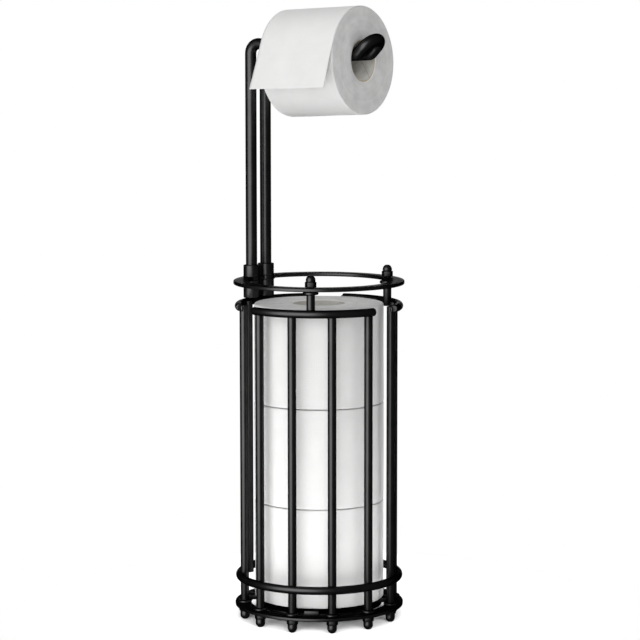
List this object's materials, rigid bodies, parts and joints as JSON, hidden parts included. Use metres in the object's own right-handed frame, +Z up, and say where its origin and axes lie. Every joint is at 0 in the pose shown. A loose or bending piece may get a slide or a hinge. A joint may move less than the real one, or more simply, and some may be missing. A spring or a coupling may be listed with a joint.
{
  "type": "free-standing toilet paper holder",
  "caption": "Round black rod basket holding a stack of spare paper rolls, with a hairpin arm on two posts carrying a roll in use above it",
  "frame": {"origin": "on the floor, at the basket's centre", "axes": "+Z up; -Y is the front and +X the right hand of someone facing it; the arm points forward and right from the posts at the back left"},
  "size_m": [0.1764, 0.181, 0.6331],
  "materials": {
    "black_metal": "smooth satin black powder coat",
    "tissue_paper": "soft matt white tissue, lightly embossed",
    "core_cardboard": "matt spiral-wound grey card"
  },
  "bodies": {
    "basket": {"base_ring": "black_metal", "rod_01": "black_metal", "rod_02": "black_metal", "rod_03": "black_metal", "rod_04": "black_metal", "rod_05": "black_metal", "rod_06": "black_metal", "rod_07": "black_metal", "rod_08": "black_metal", "rod_09": "black_metal", "rod_10": "black_metal", "rod_11": "black_metal", "rod_12": "black_metal", "flange_of_rod_01": "black_metal", "flange_of_rod_02": "black_metal", "flange_of_rod_03": "black_metal", "flange_of_rod_04": "black_metal", "flange_of_rod_05": "black_metal", "flange_of_rod_06": "black_metal", "flange_of_rod_07": "black_metal", "flange_of_rod_08": "black_metal", "flange_of_rod_09": "black_metal", "flange_of_rod_12": "black_metal", "foot_of_rod_01": "black_metal", "foot_of_rod_02": "black_metal", "foot_of_rod_03": "black_metal", "foot_of_rod_04": "black_metal", "foot_of_rod_05": "black_metal", "foot_of_rod_06": "black_metal", "foot_of_rod_07": "black_metal", "foot_of_rod_08": "black_metal", "foot_of_rod_09": "black_metal", "foot_of_rod_12": "black_metal", "lower_wire_ring": "black_metal", "front_arc": "black_metal", "right_arc": "black_metal", "left_arc": "black_metal", "front_stud": "black_metal", "right_stud": "black_metal", "front_stud_flange": "black_metal", "right_stud_flange": "black_metal", "front_cap_nut": "black_metal", "right_cap_nut": "black_metal", "top_ring": "black_metal", "rear_sleeve": "black_metal", "front_sleeve": "black_metal", "seat_cross": "black_metal", "seat_disc": "black_metal"},
    "arm": {"hairpin_arm": "black_metal", "paper_tail": "tissue_paper"},
    "roll_in_use": {"hung_roll": "tissue_paper", "hung_core": "core_cardboard"},
    "bottom_roll": {"bottom_spare_roll": "tissue_paper", "bottom_spare_core": "core_cardboard"},
    "middle_roll": {"middle_spare_roll": "tissue_paper", "middle_spare_core": "core_cardboard"},
    "top_roll": {"top_spare_roll": "tissue_paper", "top_spare_core": "core_cardboard"}
  },
  "joints": [
    {"name": "arm_lift", "type": "slide", "parent": "basket", "child": "arm", "axis": [0, 0, 1], "range_m": [0, 0.04]},
    {"name": "roll_spin", "type": "hinge", "parent": "arm", "child": "roll_in_use", "pos_m": [0.0083, -0.00646, 0.57663], "axis": [0.8114, -0.583, 0.0419], "continuous": true},
    {"name": "bottom_roll_lift", "type": "slide", "parent": "basket", "child": "bottom_roll", "axis": [0, 0, 1], "range_m": [0, 0.025]},
    {"name": "middle_roll_lift", "type": "slide", "parent": "bottom_roll", "child": "middle_roll", "axis": [0, 0, 1], "range_m": [0, 0.025]},
    {"name": "top_roll_lift", "type": "slide", "parent": "middle_roll", "child": "top_roll", "axis": [0, 0, 1], "range_m": [0, 0.13]}
  ]
}
